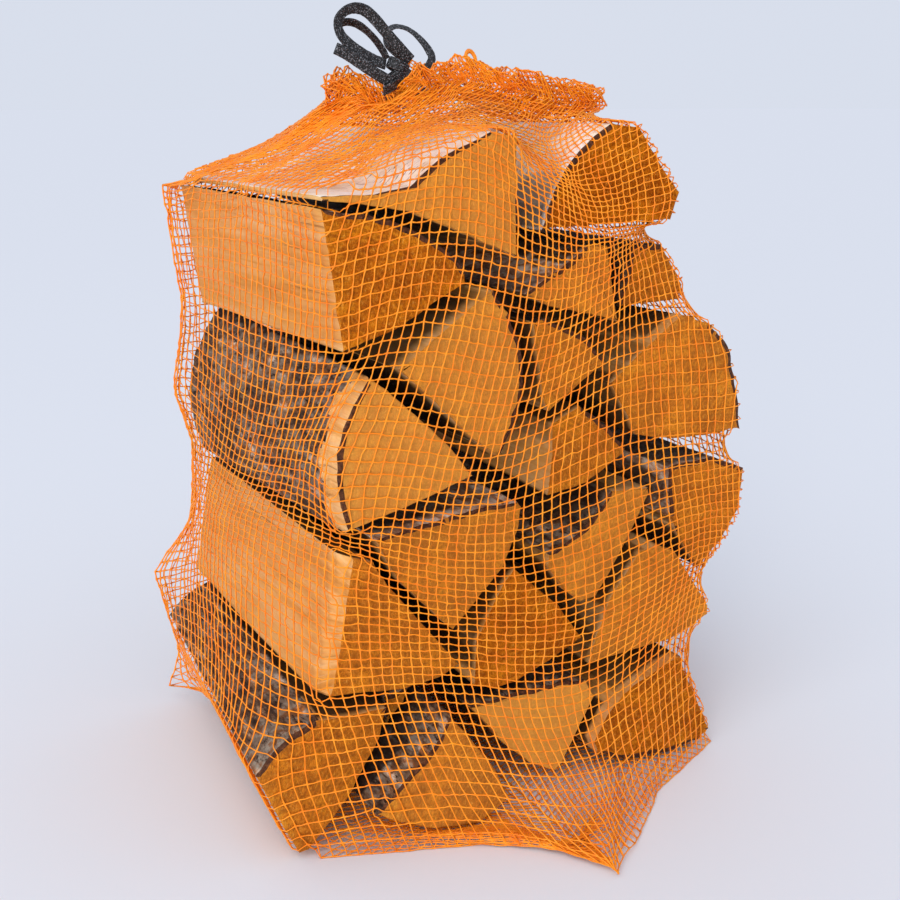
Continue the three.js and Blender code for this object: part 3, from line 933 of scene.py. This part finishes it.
def smooth_line(points, step):
    """Points at even steps along a soft line through the given ones."""
    p = np.array(points, dtype=float)
    ends = np.concatenate([[2 * p[0] - p[1]], p, [2 * p[-1] - p[-2]]])
    pieces = []
    t = np.linspace(0.0, 1.0, 12, endpoint=False)[:, None]
    for a, b, c, d in zip(ends, ends[1:], ends[2:], ends[3:]):
        bend = 2 * b + (c - a) * t + (2 * a - 5 * b + 4 * c - d) * t**2 + (3 * b - a - 3 * c + d) * t**3
        pieces.append(0.5 * bend)
    line = np.concatenate(pieces + [p[-1:]])
    along = np.concatenate([[0.0], np.cumsum(np.linalg.norm(np.diff(line, axis=0), axis=1))])
    count = max(2, round(along[-1] / step)) + 1
    even = np.linspace(0.0, along[-1], count)
    return np.stack([np.interp(even, along, line[:, axis]) for axis in range(3)], axis=1)


def tape_section():
    """The tape's section: flat, with a rib at each of its warp threads."""
    curve = bpy.data.curves.new("tape_section", "CURVE")
    curve.dimensions = "2D"
    across = np.linspace(-0.5, 0.5, 25)
    edge = np.sqrt(np.clip(1.0 - (2.0 * np.abs(across)) ** 6, 0.02, 1.0))
    rib = 1.0 + 0.16 * np.cos(2 * math.pi * 6 * across)
    top = np.column_stack([0.5 * TAPE_THICK * edge * rib, TAPE_WIDTH * across])
    bottom = np.column_stack([-0.5 * TAPE_THICK * edge * rib, TAPE_WIDTH * across])[::-1]
    ring = np.concatenate([top, bottom]) * MM
    spline = curve.splines.new("POLY")
    spline.points.add(len(ring) - 1)
    spline.points.foreach_set("co", np.column_stack([ring, np.zeros(len(ring)), np.ones(len(ring))]).ravel())
    spline.use_cyclic_u = True
    maker = bpy.data.objects.new("tape_section", curve)
    bpy.context.scene.collection.objects.link(maker)
    return maker


def build_tape(name, node, route, turns, material, closed=False):
    """A stretch of flat tape along its route, its width level across the bundle where its turn is 0."""
    line = smooth_line(route + route[:1] if closed else route, 1.6)
    if closed:
        line = line[:-1]
    turned = np.column_stack([line[:, 0], line[:, 2], -line[:, 1]])  # the route's upright plane, laid level
    curve = bpy.data.curves.new(name, "CURVE")
    curve.dimensions = "3D"
    curve.twist_mode = "Z_UP"
    curve.bevel_mode = "OBJECT"
    section_maker = tape_section()
    curve.bevel_object = section_maker
    curve.use_fill_caps = True
    spline = curve.splines.new("POLY")
    spline.points.add(len(turned) - 1)
    flat_origin = np.array([ORIGIN[0], 0.0, -ORIGIN[1]])
    co = np.column_stack([(turned - flat_origin) * MM, np.ones(len(turned))])
    spline.points.foreach_set("co", co.ravel())
    share = np.linspace(0.0, 1.0, len(turned))
    spline.points.foreach_set("tilt", np.radians(np.interp(share, np.linspace(0.0, 1.0, len(turns)), turns)))
    spline.use_cyclic_u = closed
    maker = bpy.data.objects.new(name + "_line", curve)
    bpy.context.scene.collection.objects.link(maker)
    bpy.context.view_layer.update()
    mesh = bpy.data.meshes.new_from_object(maker.evaluated_get(bpy.context.evaluated_depsgraph_get()))
    for helper in (maker, section_maker):
        data = helper.data
        bpy.data.objects.remove(helper)
        bpy.data.curves.remove(data)
    bm = bmesh.new()
    bm.from_mesh(mesh)
    bpy.data.meshes.remove(mesh)
    bmesh.ops.remove_doubles(bm, verts=bm.verts, dist=0.002 * MM)
    bmesh.ops.rotate(bm, verts=bm.verts, matrix=Matrix.Rotation(math.radians(90), 3, "X"))
    for vert in bm.verts:
        weave = math.sin(vert.co.x * 2600.0) * math.sin(vert.co.z * 2600.0)
        vert.co += vert.normal * (0.10 * MM * weave)
    for face in bm.faces:
        face.smooth = True
    bmesh.ops.recalc_face_normals(bm, faces=bm.faces)
    piece = object_from(bm, name, [material])
    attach(piece, "root")
    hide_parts(node)
    return piece, (line - ORIGIN) * MM


def build_bow():
    tape = woven_tape()
    free = (
        ("loop_left_outer", "cord_loop_left_outer", LOOP_LEFT_OUTER, (75, 80, 60, 80, 75), "object"),
        ("loop_left_inner", "cord_loop_left_inner", LOOP_LEFT_INNER, (10, 15, 40, 60, 40), "object"),
        ("loop_right", "cord_loop_right", LOOP_RIGHT, (20, 5, 35, 75, 70), "object"),
        ("end_long", "cord_end_long", END_LONG, (85, 85, 85), "bare"),
    )
    for name, node, route, turns, far_end in free:
        piece, path = build_tape(name, node, route, turns, tape)
    # the knot: two turns of tape around the crossing, and the short end below it
    x, y, z = KNOT
    for name, height, lean, size in (("knot_turn_low", -3.0, 3.0, 6.0), ("knot_turn_high", 3.0, -3.0, 6.5)):
        ring = []
        for k in range(12):
            turn = 2 * math.pi * k / 12
            rise = z + height + lean * math.cos(turn)
            ring.append((x + size * math.cos(turn), y + 0.7 * size * math.sin(turn), rise))
        build_tape(name, "cord_knot", ring, (90, 90), tape, closed=True)
    build_tape("end_short", "cord_knot", [(128, 99, 481), (121, 96, 478), (114, 95, 475)], (60, 60), tape)
    ring = []
    for k in range(16):
        turn = 2 * math.pi * k / 16
        ring.append((139 + 13 * math.cos(turn), 113 + 12 * math.sin(turn), 473 + 2.0 * math.cos(turn)))
    build_tape("neck_turn", "cord_neck_turn", ring, (0, 0), tape, closed=True)


def woven_tape():
    n = Nodes("black_woven_tape")
    place = n.add("ShaderNodeTexCoord").outputs["Object"]
    threads = n.noise(place, 1100.0, 2.0, 0.5)
    base = n.ramp(
        threads, (0.44, (0.002, 0.002, 0.0025)), (0.56, (0.010, 0.010, 0.012)), (0.66, (0.22, 0.225, 0.24)),
    )
    return n.finish(base, 0.42, n.bump(threads, 0.0009, 1.0), specular=0.45)


add_camera()
add_surroundings()
SOLIDS = {}
for node in LOG_LOOKS:
    corners = cad_points(node)
    SOLIDS[node] = (log_planes(node), corners.min(axis=0), corners.max(axis=0))
FINISHES = {
    "end": end_grain(),
    "split": split_wood(),
    "white": white_bark(),
    "pink": pink_bark(),
    "dark": dark_bark(),
    "rim": bark_edge(),
}
for node in LOG_LOOKS:
    build_log(node, FINISHES)
build_net()
build_bow()
